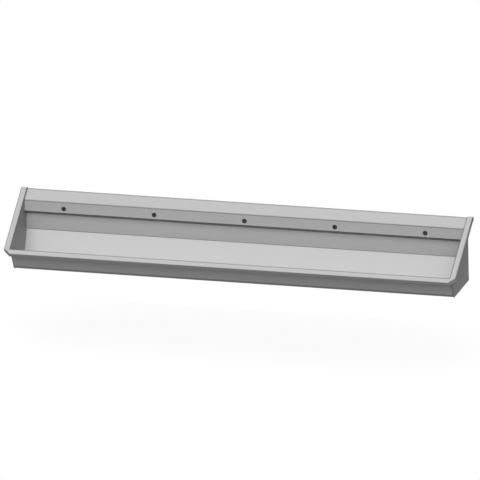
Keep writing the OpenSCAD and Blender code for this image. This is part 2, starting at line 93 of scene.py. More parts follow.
@dataclass(frozen=True)
class Section:
    """Cross-section of the trough, with the named sizes of the part's source in metres."""

    overall_l: float = 3000 * MM
    overall_d: float = 505 * MM
    overall_h: float = 425 * MM
    sheet: float = 1.5 * MM
    rim_angle: float = math.radians(31)
    rim_w: float = 40 * MM
    rim_drop: float = 27 * MM
    rim_land: float = 25 * MM
    back_gap: float = 46 * MM
    floor_gap: float = 120 * MM
    back_foot_h: float = 160 * MM
    tap_face_gap: float = 92 * MM
    tap_face_h: float = 75 * MM
    undercut_h: float = 29 * MM
    panel_drop: float = 15 * MM
    panel_land_drop: float = 6 * MM
    datum_h: float = 369.5 * MM

    def at(self, y: float, z: float) -> Flat:
        """Return a cross-section point whose height z counts from the floor's underside."""
        return y, z - self.datum_h

    @property
    def inner_x(self) -> float:
        """Half the length between the end panels."""
        return self.overall_l / 2 - self.rim_w

    @property
    def rim_back(self) -> Flat:
        """Where the rim's slope meets its level strip."""
        return self.at(-self.rim_land, self.overall_h)

    @property
    def rim_front(self) -> Flat:
        """Front edge of the rim."""
        run = self.overall_d - self.rim_land
        return -self.overall_d, self.rim_back[1] - run * math.tan(self.rim_angle)

    @property
    def rim_lip(self) -> Flat:
        """Lower end of the front rim's turned-down edge."""
        sine, cosine = math.sin(self.rim_angle), math.cos(self.rim_angle)
        return moved(self.rim_front, self.rim_drop * sine, -self.rim_drop * cosine)

    @property
    def front_top(self) -> Flat:
        """Inner edge of the front rim."""
        sine, cosine = math.sin(self.rim_angle), math.cos(self.rim_angle)
        return moved(self.rim_front, self.rim_w * cosine, self.rim_w * sine)

    @property
    def front_foot(self) -> Flat:
        """Where the front wall meets the floor."""
        y, z = self.front_top
        floor = self.sheet - self.datum_h
        return y + (z - floor) * math.tan(self.rim_angle), floor

    @property
    def floor_back(self) -> Flat:
        """Where the floor meets the back's slope."""
        return self.at(-self.floor_gap, self.sheet)

    @property
    def back_foot(self) -> Flat:
        """Where the back's slope meets the upright back."""
        return self.at(-self.back_gap, self.back_foot_h)

    @property
    def tap_top(self) -> Flat:
        """Upper edge of the tap face."""
        rise = (self.rim_land - self.tap_face_gap) * math.tan(self.rim_angle)
        return -self.tap_face_gap, self.rim_back[1] + rise - self.panel_drop

    @property
    def panel_bend(self) -> Flat:
        """Where the tap panel's level strip meets its slope."""
        run = (self.panel_drop - self.panel_land_drop) / math.tan(self.rim_angle)
        return moved(self.rim_back, run, -self.panel_land_drop)

    @property
    def tap_foot(self) -> Flat:
        """Lower edge of the tap face."""
        return moved(self.tap_top, 0.0, -self.tap_face_h)

    @property
    def undercut_back(self) -> Flat:
        """Where the undercut meets the upright back."""
        return -self.back_gap, self.tap_foot[1] - self.undercut_h


SECTION = Section()
UNDERSIDE = -SECTION.datum_h


# ---- Shader graphs ----


class Signal:
    """A number socket, on which Python's operators add Math nodes."""

    def __init__(self, graph: "Graph", socket: Socket) -> None:
        """Keep the graph and the socket."""
        self.graph = graph
        self.socket = socket

    def _math(
        self, operation: str, first: "Signal | float", second: "Signal | float"
    ) -> "Signal":
        """Add a Math node of this operation for two values, and return its result."""
        return self.graph.signal("Math", {"operation": operation}, {0: first, 1: second})

    def __add__(self, other: "Signal | float") -> "Signal":
        """Return self + other."""
        return self._math("ADD", self, other)

    __radd__ = __add__

    def __rsub__(self, other: float) -> "Signal":
        """Return other - self."""
        return self._math("SUBTRACT", other, self)

    def __mul__(self, other: "Signal | float") -> "Signal":
        """Return self * other."""
        return self._math("MULTIPLY", self, other)

    __rmul__ = __mul__

    def __abs__(self) -> "Signal":
        """Return the size of self without its sign."""
        return self._math("ABSOLUTE", self, 0.0)

    def at_most(self, other: "Signal | float") -> "Signal":
        """Return the smaller of self and other."""
        return self._math("MINIMUM", self, other)

    def at_least(self, other: "Signal | float") -> "Signal":
        """Return the larger of self and other."""
        return self._math("MAXIMUM", self, other)

    def between(self, low: float, high: float) -> "Signal":
        """Return self spread from low at 0 to high at 1."""
        return low + (high - low) * self

    def step(self, low: float, high: float) -> "Signal":
        """Return a smooth rise from 0 at low to 1 at high."""
        settings = {"interpolation_type": "SMOOTHSTEP", "clamp": True}
        sockets = {"Value": self, "From Min": low, "From Max": high}
        return self.graph.signal("MapRange", settings, sockets)


class Graph:
    """A node tree and the ways to add to it."""

    COLOUR_A = 6
    COLOUR_B = 7
    COLOUR_OUT = 2
    OCTAVE_SHARE = 0.6

    def __init__(self, owner: bpy.types.Material | bpy.types.World) -> None:
        """Give a material or the world an empty node tree."""
        owner.use_nodes = True
        self.tree = owner.node_tree
        self.tree.nodes.clear()

    @cached_property
    def place(self) -> Socket:
        """The point on the object, in the frame's metres."""
        return self.node("TexCoord").outputs["Object"]

    def node(
        self, kind: str, settings: dict | None = None, sockets: dict | None = None
    ) -> bpy.types.Node:
        """Add a node of any kind.

        Args:
            kind: the type of node, without the ShaderNode that its name starts with.
            settings: the node's own attributes, set first.
            sockets: a value, Signal or socket for each input, by name or place.

        Returns:
            The new node.
        """
        node = self.tree.nodes.new(f"ShaderNode{kind}")
        for name, value in (settings or {}).items():
            setattr(node, name, value)
        for key, value in (sockets or {}).items():
            source = value.socket if isinstance(value, Signal) else value
            if isinstance(source, Socket):
                self.tree.links.new(source, node.inputs[key])
            else:
                node.inputs[key].default_value = source
        return node

    def signal(self, kind: str, settings: dict, sockets: dict, output: int | str = 0) -> Signal:
        """Add a node and return one of its outputs as a number."""
        return Signal(self, self.node(kind, settings, sockets).outputs[output])

    def vector(self, operation: str, first: object, second: object) -> Socket:
        """Add a Vector Math node and return its vector."""
        node = self.node("VectorMath", {"operation": operation}, {0: first, 1: second})
        return node.outputs[0]

    def measure(self, operation: str, first: object, second: object = (0.0, 0.0, 0.0)) -> Signal:
        """Add a Vector Math node and return its number."""
        sockets = {0: first, 1: second}
        return self.signal("VectorMath", {"operation": operation}, sockets, "Value")

    def blend(self, amount: Signal, first: Point, second: Point) -> Socket:
        """Mix two colours, and return the first where the amount is 0."""
        sockets = {0: amount, self.COLOUR_A: (*first, 1.0), self.COLOUR_B: (*second, 1.0)}
        return self.node("Mix", {"data_type": "RGBA"}, sockets).outputs[self.COLOUR_OUT]

    def split(self, vector: Socket) -> tuple[Signal, Signal, Signal]:
        """Return the three numbers of a vector."""
        x, y, z = self.node("SeparateXYZ", {}, {0: vector}).outputs
        return Signal(self, x), Signal(self, y), Signal(self, z)

    def gathered(self, x: Signal, y: Signal, z: Signal | float = 0.0) -> Socket:
        """Return the vector of three numbers."""
        return self.node("CombineXYZ", {}, {0: x, 1: y, 2: z}).outputs[0]

    def noise(self, spots: Spots, detail: float = 2.0, place: Socket | None = None) -> Signal:
        """Add noise that may be drawn out along an axis.

        Args:
            spots: how many there are in a metre, in all or along each axis.
            detail: how many finer octaves it has.
            place: the point to read it at, where it isn't the object's own.

        Returns:
            A number about 0.5.
        """
        scale = spots if isinstance(spots, tuple) else (spots, spots, spots)
        sockets = {"Vector": self.place if place is None else place, "Scale": scale}
        point = self.node("Mapping", {}, sockets).outputs[0]
        sockets = {"Vector": point, "Scale": 1.0, "Detail": detail}
        return self.signal("TexNoise", {}, {**sockets, "Roughness": self.OCTAVE_SHARE})

    def seen(self) -> Signal:
        """Return 1 for the rays of the camera and for those through glass, and 0 for others."""
        rays = self.node("LightPath").outputs
        glass = Signal(self, rays["Is Transmission Ray"])
        return Signal(self, rays["Is Camera Ray"]).at_least(glass)

    def mixed(self, share: Signal | Socket | float, first: Socket, second: Socket) -> Socket:
        """Mix two shaders, and return the first where the share is 0."""
        return self.node("MixShader", {}, {0: share, 1: first, 2: second}).outputs[0]


# ---- Finishes ----


class Reach(Enum):
    """How the distance to a line on the sheet is taken."""

    SECTION = "across the section, all along X"
    ENDS = "in space, the same at both ends"


@dataclass(frozen=True)
class ShadeLine:
    """A line along a fold, seam or edge, where shade is painted into the sheet's colour."""

    start: Point
    end: Point
    width: float
    depth: float
    reach: Reach = Reach.SECTION
    core_share: float = 0.35
    soft_share: float = 0.5

    def shade(self, graph: Graph) -> Signal:
        """Work out the painted shade that the line gives the sheet.

        Args:
            graph: the material's graph.

        Returns:
            1 off the line, and less by its depth on it.
        """
        if self.reach is Reach.SECTION:
            point = graph.vector("MULTIPLY", graph.place, (0.0, 1.0, 1.0))
        else:
            x, y, z = graph.split(graph.place)
            point = graph.gathered(abs(x), y, z)
        offset = graph.vector("SUBTRACT", point, self.start)
        run = Vector(self.end) - Vector(self.start)
        if run.length_squared > 0:
            along = graph.measure("DOT_PRODUCT", offset, tuple(run / run.length_squared))
            along = along.at_most(1.0).at_least(0.0)
            sockets = {0: tuple(run), "Scale": along}
            nearest = graph.node("VectorMath", {"operation": "SCALE"}, sockets).outputs[0]
            away = graph.measure("DISTANCE", offset, nearest)
        else:
            away = graph.measure("LENGTH", offset)
        off = away.step(self.width * self.core_share, self.width * self.soft_share)
        return 1.0 - self.depth * (1.0 - off)


def strip(start: Flat, end: Flat, width: float, depth: float) -> ShadeLine:
    """Return the line that covers one flat of the cross-section."""
    return ShadeLine((0.0, *start), (0.0, *end), width, depth)


def fold(corner: Flat, width: float, depth: float) -> ShadeLine:
    """Return the line along a fold that runs the length of the trough."""
    return strip(corner, corner, width, depth)


def end_line(start: Flat, end: Flat, width: float, depth: float) -> ShadeLine:
    """Return the line in the cross-section at both ends of the trough."""
    return ShadeLine((SECTION.inner_x, *start), (SECTION.inner_x, *end), width, depth, Reach.ENDS)


class Grain(Enum):
    """Direction in which a sheet was brushed, as spots in a metre along each axis."""

    LENGTHWISE = (3.0, 900.0, 900.0)
    UPRIGHT = (900.0, 900.0, 3.0)


@dataclass(frozen=True)
class Finish:
    """What every finish has, and how its parts go together.

    Tones and clouds are the tones that the marks and the clouds spread the colour over.
    Spots are how many there are in a metre, in all or along each axis.
    """

    name: str
    colour: Point
    roughness: float
    metallic: float = 1.0
    tones: Flat = (1.0, 1.0)
    clouds: Flat = (0.94, 1.0)
    cloud_spots: Spots = 40.0
    gloss_swing: float = 0.08
    mark_spots: Spots = 60.0
    relief_depth: float = 0.1 * MM
    relief_strength: float = 0.3
    relief_spots: float = 300.0
    relief_detail: float = 2.0
    relief_is_marks: bool = False

    def build(self) -> bpy.types.Material:
        """Return a new material of this finish."""
        material = bpy.data.materials.new(self.name)
        graph = Graph(material)
        half = self.gloss_swing / 2
        gloss = self.marks(graph).between(self.roughness - half, self.roughness + half)
        relief = {
            "Height": self.skin(graph),
            "Distance": self.relief_depth,
            "Strength": self.relief_strength,
        }
        looks = {
            "Base Color": self.tint(graph),
            "Roughness": gloss,
            "Metallic": self.metallic,
            "Normal": graph.node("Bump", {}, relief).outputs[0],
        }
        shader = graph.node("BsdfPrincipled", {}, looks)
        graph.node("OutputMaterial", {}, {"Surface": shader.outputs[0]})
        return material

    def marks(self, graph: Graph) -> Signal:
        """Return the pattern of the roughness and tone, from 0 to 1."""
        return graph.noise(self.mark_spots)

    def skin(self, graph: Graph) -> Signal:
        """Return the height of the relief, from 0 to 1."""
        if self.relief_is_marks:
            return self.marks(graph)
        return graph.noise(self.relief_spots, self.relief_detail)

    def tone(self, graph: Graph) -> Signal:
        """Return what the colour is multiplied by: the marks' tone under soft clouds."""
        clouds = graph.noise(self.cloud_spots).between(*self.clouds)
        return self.marks(graph).between(*self.tones) * clouds

    def tint(self, graph: Graph) -> Socket:
        """Return the colour over the surface."""
        return graph.blend(self.tone(graph), BLACK, self.colour)


@dataclass(frozen=True)
class SatinSheet(Finish):
    """Brushed stainless sheet, with fine grain, and painted shade along its folds and edges and
    on some faces.
    """

    colour: Point = (0.6, 0.6, 0.6)
    roughness: float = 0.6
    metallic: float = 0.5
    tones: Flat = (0.97, 1.0)
    clouds: Flat = (0.98, 1.01)
    cloud_spots: Spots = (1.5, 5.0, 5.0)
    gloss_swing: float = 0.06
    mark_spots: Spots = Grain.LENGTHWISE.value
    relief_depth: float = 0.02 * MM
    relief_strength: float = 0.25
    relief_is_marks: bool = True
    lines: tuple[ShadeLine, ...] = ()
    # painted shade on the inner faces of the end panels, as the share of the colour left there
    painted_inner_shade: float = 1.0
    inner_fade: Flat = (0.2 * MM, 0.6 * MM)

    def tone(self, graph: Graph) -> Signal:
        """Add the painted shade lines to the tone, and paint shade on the inner face of an end.

        Args:
            graph: the material's graph.

        Returns:
            What the colour is multiplied by.
        """
        tone = super().tone(graph)
        for line in self.lines:
            tone = tone * line.shade(graph)
        # Painted shade: the inner faces of the ends, which face the bowl, are darkened.
        if self.painted_inner_shade < 1.0:
            low, high = (SECTION.inner_x + depth for depth in self.inner_fade)
            outside = abs(graph.split(graph.place)[0]).step(low, high)
            tone = tone * outside.between(self.painted_inner_shade, 1.0)
        return tone


@dataclass(frozen=True)
class SpangledZinc(Finish):
    """Hot-dip galvanised steel, with the flat crystals of its zinc."""

    tones: Flat = (0.84, 1.12)
    clouds: Flat = (0.95, 1.05)
    cloud_spots: Spots = 9.0
    gloss_swing: float = 0.16
    crystals: float = 90.0

    def marks(self, graph: Graph) -> Signal:
        """Return a number from 0 to 1 for each crystal."""
        sockets = {"Vector": graph.place, "Scale": self.crystals}
        return graph.signal("TexVoronoi", {}, sockets, "Color")


@dataclass(frozen=True)
class TurnedMetal(Finish):
    """Metal turned on a lathe about the waste's axis, with the tool's fine rings."""

    gloss_swing: float = 0.1
    mark_spots: Spots = (2500.0, 2500.0, 1.0)
    relief_depth: float = 0.02 * MM
    relief_is_marks: bool = True
    axis: Point = (0.0, -200 * MM, 0.0)

    def marks(self, graph: Graph) -> Signal:
        """Return the tool's rings, from 0 to 1."""
        centre = graph.vector("SUBTRACT", graph.place, self.axis)
        radius = graph.measure("LENGTH", graph.vector("MULTIPLY", centre, (1.0, 1.0, 0.0)))
        point = graph.gathered(radius, graph.split(graph.place)[2])
        return graph.noise(self.mark_spots, 1.0, point)


@dataclass(frozen=True)
class PatchedFinish(Finish):
    """A finish of two colours, the second in patches of a noise."""

    patch_colour: Point = BLACK
    patch_spots: Spots = 120.0
    patch_detail: float = 2.0
    patch_edge: Flat = (0.45, 0.65)
    patch_share: float = 1.0

    def tint(self, graph: Graph) -> Socket:
        """Return the colour, with the second one in patches."""
        patches = graph.noise(self.patch_spots, self.patch_detail)
        amount = self.patch_share * patches.step(*self.patch_edge)
        return graph.blend(amount, self.colour, self.patch_colour)


# How far up from the foot of the upright back its bands of painted shade reach, in mm. They all
# start just above the foot, so the painted shade is darkest at the foot and fades upwards.
FOOT_SHADE_BANDS = range(24, 84, 10)
FOOT_SHADE_DEPTH = 0.028


def basin_shade_lines() -> tuple[ShadeLine, ...]:
    """Return the painted shade lines along the trough's own folds, and the painted shade over
    some of its flats.

    The last two numbers of every line are its width, and how much of the light it takes.
    """
    back, top, foot = SECTION.back_foot, SECTION.front_top, SECTION.front_foot
    low = moved(back, 0.0, 4 * MM)
    bands = (strip(low, moved(back, 0.0, rise * MM), 8 * MM, FOOT_SHADE_DEPTH) for rise in FOOT_SHADE_BANDS)
    return (
        # Painted shade: bands darkest at the upright back's foot, lines along the folds, and
        # tones over the back slope, the rim's turned-down edge and the front wall.
        *bands,
        fold(moved(back, 0.0, 1 * MM), 9 * MM, 0.22),
        strip(back, SECTION.floor_back, 14 * MM, 0.16),
        fold(top, 14 * MM, 0.6),
        strip(SECTION.rim_front, SECTION.rim_lip, 8 * MM, 0.3),
        strip(top, foot, 8 * MM, 0.05),
        fold(moved(foot, -4 * MM, 7 * MM), 26 * MM, 0.4),
        end_line(top, foot, 9 * MM, 0.45),
    )


def panel_shade_lines() -> tuple[ShadeLine, ...]:
    """Return the painted shade lines on the tap panel's folds, and the painted shade over its
    undercut.
    """
    return (
        fold((0.0, SECTION.panel_bend[1]), 20 * MM, 0.35),
        fold(SECTION.panel_bend, 14 * MM, 0.32),
        fold(moved(SECTION.tap_top, 0.0, -2 * MM), 12 * MM, 0.38),
        # painted shade over the undercut, under the tap face
        strip(SECTION.tap_foot, SECTION.undercut_back, 5 * MM, 0.62),
    )


def end_shade_lines() -> tuple[ShadeLine, ...]:
    """Return the painted shade lines along the edges of the end rims and of the panels under
    them.
    """
    inner, outer = SECTION.inner_x, SECTION.overall_l / 2
    mitre, back, foot = SECTION.front_top, SECTION.rim_back, SECTION.front_foot
    wall, low_front = (0.0, back[1]), moved(foot, 0.0, -8 * MM)
    low_wall = (0.0, low_front[1])
    front = SECTION.rim_front
    return (
        end_line(mitre, back, 12 * MM, 0.6),
        end_line(back, wall, 9 * MM, 0.4),
        ShadeLine((outer, *mitre), (outer, *back), 12 * MM, 0.5, Reach.ENDS),
        ShadeLine((outer, *back), (outer, *wall), 12 * MM, 0.4, Reach.ENDS),
        ShadeLine((inner, *front), (outer, *mitre), 12 * MM, 0.5, Reach.ENDS),
        end_line(mitre, foot, 9 * MM, 0.45),
        end_line(low_front, low_wall, 12 * MM, 0.4),
        end_line(low_wall, wall, 18 * MM, 0.3),
    )


BASIN_STEEL = SatinSheet("satin_sheet_lengthwise", lines=basin_shade_lines())
PANEL_STEEL = SatinSheet("satin_sheet_tap_panel", lines=panel_shade_lines())
# The ends' sheet has painted shade on its inner faces, at half the colour.
END_STEEL = SatinSheet(
    "satin_sheet_ends", mark_spots=Grain.UPRIGHT.value, lines=end_shade_lines(), painted_inner_shade=0.5
)
GROUND_WELD = SatinSheet("ground_weld", (0.42, 0.42, 0.42))
MILL_STEEL = Finish("mill_sheet", (0.5, 0.5, 0.49), 0.45, 0.6)
ZINC = SpangledZinc("galvanised_zinc", (0.5, 0.51, 0.52), 0.5, 0.6)
BOLT_STEEL = Finish("bolt_steel", (0.55, 0.55, 0.54), 0.28)
POLISHED = TurnedMetal("polished_waste", (0.66, 0.66, 0.65), 0.16)
BRASS = TurnedMetal("turned_brass", (0.72, 0.52, 0.25), 0.3)

# On welds the patches are the straw and blue of the heat, on rubber dust, and on the board
# its fibres.
BRACKET_WELD = PatchedFinish(
    "bracket_weld", (0.38, 0.39, 0.4), 0.45, 0.6, patch_colour=(0.34, 0.28, 0.25)
)
SPOT_WELD = PatchedFinish("spot_weld", (0.4, 0.4, 0.4), 0.4, patch_colour=(0.4, 0.31, 0.2))
RUBBER = PatchedFinish(
    "black_rubber",
    (0.022, 0.022, 0.023),
    0.72,
    0.0,
    relief_depth=0.05 * MM,
    relief_strength=0.5,
    relief_spots=1500.0,
    patch_colour=(0.0484, 0.0484, 0.0506),
    patch_spots=25.0,
    patch_edge=(0.5, 0.8),
    patch_share=0.5,
)
BOARD = PatchedFinish(
    "bitumen_board",
    (0.035, 0.034, 0.033),
    0.85,
    0.0,
    relief_depth=0.4 * MM,
    relief_strength=0.8,
    relief_spots=700.0,
    relief_detail=4.0,
    patch_colour=(0.105, 0.102, 0.099),
    patch_spots=(60.0, 900.0, 400.0),
    patch_detail=3.0,
    patch_edge=(0.62, 0.72),
)


# ---- Modelling tools ----


class Element(Enum):
    """Kind of mesh element to pick."""

    FACE = "FACE"
    EDGE = "EDGE"
    VERT = "VERT"


def deselect() -> None:
    """Deselect every object."""
    bpy.ops.object.select_all(action="DESELECT")


def take(obj: Piece) -> None:
    """Make this the only selected object and the active one."""
    deselect()
    obj.select_set(True)
    bpy.context.view_layer.objects.active = obj


def named(obj: Piece, name: str) -> Piece:
    """Give an object and its mesh this name, and return the object."""
    obj.name = obj.data.name = name
    return obj


def primitive(
    add: Callable, name: str, sides: Point = (1.0, 1.0, 1.0), **options: object
) -> Piece:
    """Add a primitive, and settle its place and size.

    Args:
        add: the operator that adds it.
        name: the object's name.
        sides: what its sides are multiplied by.
        options: the operator's own options.

    Returns:
        The object, unturned and unscaled at the origin.
    """
    deselect()
    add(**options)
    obj = named(bpy.context.active_object, name)
    obj.scale = sides
    take(obj)
    bpy.ops.object.transform_apply(location=True, rotation=True, scale=True)
    return obj


@contextmanager
def editing(obj: Piece) -> Iterator[None]:
    """Be in edit mode for the length of a with block, with the whole mesh selected."""
    take(obj)
    bpy.ops.object.mode_set(mode="EDIT")
    bpy.ops.mesh.select_all(action="SELECT")
    try:
        yield
    finally:
        bpy.ops.object.mode_set(mode="OBJECT")


def pick(obj: Piece, element: Element, test: Callable[[Vector, Vector], bool]) -> None:
    """Select the elements that pass a test, in edit mode.

    Args:
        obj: the object in edit mode.
        element: the kind of element.
        test: is given an element's middle, and its normal or the way it runs.
    """
    bpy.ops.mesh.select_mode(type=element.value)
    bpy.ops.mesh.select_all(action="DESELECT")
    mesh = bmesh.from_edit_mesh(obj.data)
    if element is Element.FACE:
        for face in mesh.faces:
            face.select_set(test(face.calc_center_median(), face.normal))
    elif element is Element.EDGE:
        for edge in mesh.edges:
            start, end = (vert.co for vert in edge.verts)
            edge.select_set(test((start + end) / 2, (end - start).normalized()))
    else:
        for vert in mesh.verts:
            vert.select_set(test(vert.co, vert.normal))
    mesh.select_flush_mode()
    bmesh.update_edit_mesh(obj.data)


def swell(across: Point) -> None:
    """Resize what is selected about the origin."""
    bpy.ops.transform.resize(value=across, center_override=(0, 0, 0))


def modify(obj: Piece, kind: str, **settings: object) -> None:
    """Add a modifier and apply it.

    Args:
        obj: the object.
        kind: Blender's name for the type of modifier.
        settings: the modifier's own attributes.
    """
    take(obj)
    modifier = obj.modifiers.new(kind.lower(), kind)
    for name, value in settings.items():
        setattr(modifier, name, value)
    bpy.ops.object.modifier_apply(modifier=modifier.name)


def cut(obj: Piece, tool: Piece, operation: str = "DIFFERENCE") -> Piece:
    """Cut or trim an object with a tool, which is used up, and return the object."""
    modify(obj, "BOOLEAN", operation=operation, object=tool)
    bpy.data.objects.remove(tool)
    return obj


def close(obj: Piece) -> Piece:
    """Merge what coincides, turn the faces outwards, and return the object."""
    with editing(obj):
        bpy.ops.mesh.remove_doubles(threshold=MERGE_GAP)
        bpy.ops.mesh.normals_make_consistent(inside=False)
    return obj


def smooth(obj: Piece, degrees: float = 35.0) -> Piece:
    """Shade smooth where faces meet at less than an angle, and return the object."""
    take(obj)
    bpy.ops.object.shade_smooth_by_angle(angle=math.radians(degrees))
    return obj


def copied(pattern: Piece, place: Matrix) -> Piece:
    """Copy a pattern to another place.

    Args:
        pattern: the object.
        place: how the copy is turned and moved.

    Returns:
        The copy, with a mesh of its own.
    """
    copy = pattern.copy()
    copy.data = pattern.data.copy()
    copy.data.transform(place)
    bpy.context.scene.collection.objects.link(copy)
    return copy


def copies(pattern: Piece, places: Sequence[Matrix], name: str) -> Piece:
    """Copy a pattern to each place and join the copies.

    Args:
        pattern: the object that is modelled once; it stays as it is.
        places: where each copy goes.
        name: the joined piece's name.

    Returns:
        The joined piece.
    """
    return joined([copied(pattern, place) for place in places], name)


def joined(parts: Sequence[Piece], name: str) -> Piece:
    """Join two or more objects.

    Args:
        parts: the objects.
        name: the joined object's name.

    Returns:
        The joined object.
    """
    deselect()
    for part in parts:
        part.select_set(True)
    bpy.context.view_layer.objects.active = parts[0]
    bpy.ops.object.join()
    return named(bpy.context.active_object, name)


def turned(name: str, profile: Sequence[Flat], segments: int = 64) -> Piece:
    """Turn a closed solid about the Z axis.

    A ring is extruded and resized along the profile. Where the profile doesn't come back
    to its start, its first and last rings are filled.

    Args:
        name: the object's name.
        profile: radius and height of each ring.
        segments: vertices in a ring.

    Returns:
        The solid, with its faces outwards.
    """
    radius, height = profile[0]
    is_open = profile[-1] != profile[0]
    obj = primitive(
        bpy.ops.mesh.primitive_circle_add,
        name,
        vertices=segments,
        radius=radius,
        fill_type="NOTHING",
        location=(0, 0, height),
    )
    with editing(obj):
        if is_open:
            bpy.ops.mesh.edge_face_add()
            pick(obj, Element.EDGE, lambda middle, way: True)
        for (radius, height), (next_radius, next_height) in zip(profile, profile[1:]):
            step = {"value": (0, 0, next_height - height)}
            bpy.ops.mesh.extrude_edges_move(TRANSFORM_OT_translate=step)
            swell((next_radius / radius, next_radius / radius, 1))
        if is_open:
            bpy.ops.mesh.edge_face_add()
    return close(obj)


def scaled(outline: Sequence[Flat], radius: float, height: float) -> list[Flat]:
    """Return an outline of shares as radii and heights."""
    return [(share * radius, rise * height) for share, rise in outline]


def thread(
    name: str, radius: float, pitch: float, low: float, high: float, steps: int
) -> Piece:
    """Wind one outside thread about the Z axis.

    Args:
        name: the object's name.
        radius: outside radius of the thread.
        pitch: rise in one turn.
        low: height at which it starts.
        high: height at which it ends at the latest.
        steps: sections in one turn.

    Returns:
        The ridge of the thread, which stands in its core.
    """
    corners, filled_share = 4, 0.48
    ridge = filled_share * pitch
    obj = primitive(
        bpy.ops.mesh.primitive_circle_add,
        name,
        vertices=corners,
        radius=ridge,
        fill_type="NOTHING",
        rotation=(QUARTER_TURN, 0, 0),
    )
    with editing(obj):
        bpy.ops.transform.translate(value=(radius - ridge, 0, low + ridge))
    modify(
        obj,
        "SCREW",
        axis="Z",
        angle=math.tau,
        screw_offset=pitch,
        iterations=int((high - low - 2 * ridge) / pitch),
        steps=steps,
        render_steps=steps,
    )
    with editing(obj):
        bpy.ops.mesh.fill_holes(sides=corners)
    return close(obj)


def prism(name: str, flats: float, low: float, high: float) -> Piece:
    """Return a prism of this width across its six flats, with one corner towards X."""
    return primitive(
        bpy.ops.mesh.primitive_cylinder_add,
        name,
        vertices=6,
        radius=flats / math.sqrt(3),
        depth=high - low,
        location=(0, 0, (low + high) / 2),
        rotation=(0, 0, math.pi / 6),
    )


def chamfered_prism(name: str, flats: float, low: float, high: float) -> Piece:
    """Return a prism whose corners are turned off at both ends, as on a bolt's head.

    Args:
        name: the object's name.
        flats: width across its flats.
        low: height of its lower end.
        high: height of its upper end.

    Returns:
        The chamfered prism.
    """
    face_share, corner_share, slope, past = 0.47, 1.001, math.radians(30), 0.01 * MM
    corner = corner_share * flats / math.sqrt(3)
    face = face_share * flats
    slant = (corner - face) * math.tan(slope)
    profile = [
        (face, low - past),
        (corner, low + slant),
        (corner, high - slant),
        (face, high + past),
    ]
    return cut(prism(name, flats, low, high), turned("trim", profile), "INTERSECT")


def hex_nut(name: str, flats: float, height: float, bore: float) -> Piece:
    """Return a chamfered nut that stands on Z = 0, with a countersunk bore.

    Args:
        name: the object's name.
        flats: width across its flats.
        height: its height.
        bore: radius of its bore.

    Returns:
        The nut.
    """
    sink_share, past = 0.12, 0.1 * MM
    sink = sink_share * bore
    wide = bore + sink
    lower = [(wide, -past), (wide, 0.0), (bore, sink)]
    upper = [(bore, height - sink), (wide, height), (wide, height + past)]
    tool = turned("bore", lower + upper, segments=48)
    return cut(chamfered_prism(name, flats, 0.0, height), tool)


def weld_bead(name: str, length: float, radius: float) -> Piece:
    """Return one rippled bead of weld along X, centred on the origin.

    Args:
        name: the object's name.
        length: length of the bead.
        radius: radius of its section.

    Returns:
        The bead.
    """
    ripples, valley, taper = 9, 0.82, 0.6
    pitch = length / (2 * ripples)
    obj = primitive(
        bpy.ops.mesh.primitive_cylinder_add,
        name,
        vertices=8,
        radius=radius,
        depth=length,
        rotation=(0, QUARTER_TURN, 0),
    )

    def in_valley(place: Vector, normal: Vector) -> bool:
        """Say whether a vertex is on a ring between two ripples."""
        return round((place.x + length / 2) / pitch) % 2 == 0

    def at_end(place: Vector, normal: Vector) -> bool:
        """Say whether a vertex is on one of the two end rings."""
        return abs(place.x) > (length - pitch) / 2

    with editing(obj):
        pick(obj, Element.EDGE, lambda middle, way: abs(way.x) > ALONG)
        bpy.ops.mesh.subdivide(number_cuts=2 * ripples - 1)
        pick(obj, Element.VERT, in_valley)
        swell((1, valley, valley))
        pick(obj, Element.VERT, at_end)
        swell((1, taper, taper))
    modify(obj, "SUBSURF", levels=1, render_levels=1)
    return smooth(obj, degrees=60.0)


# ---- Sub-assemblies ----


@dataclass
class SubAssembly:
    """Nodes and pieces that belong together."""

    nodes: dict[str, Piece]

    def dress(self, names: Sequence[str], finish: Finish) -> None:
        """Give CAD nodes a finish.

        Args:
            names: the nodes' names.
            finish: their finish.
        """
        material = finish.build()
        for name in names:
            slots = self.nodes[name].data.materials
            slots.clear()
            slots.append(material)
            LOG.info("node %s: %s", name, finish.name)

    def place(
        self,
        piece: Piece,
        finish: Finish,
        slot: str,
        body: str = "trough",
        stands_for: Sequence[str] = (),
    ) -> None:
        """Dress a new piece and tie it to the frame.

        Args:
            piece: the finished piece.
            finish: its finish.
            slot: the record's material slot; not used.
            body: the CAD body that it moves with.
            stands_for: the CAD nodes that it replaces.
        """
        piece.data.materials.clear()
        piece.data.materials.append(finish.build())
        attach(piece, body)
        if stands_for:
            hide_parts(*stands_for)
        LOG.info("piece %s: %s, %d faces", piece.name, finish.name, len(piece.data.polygons))


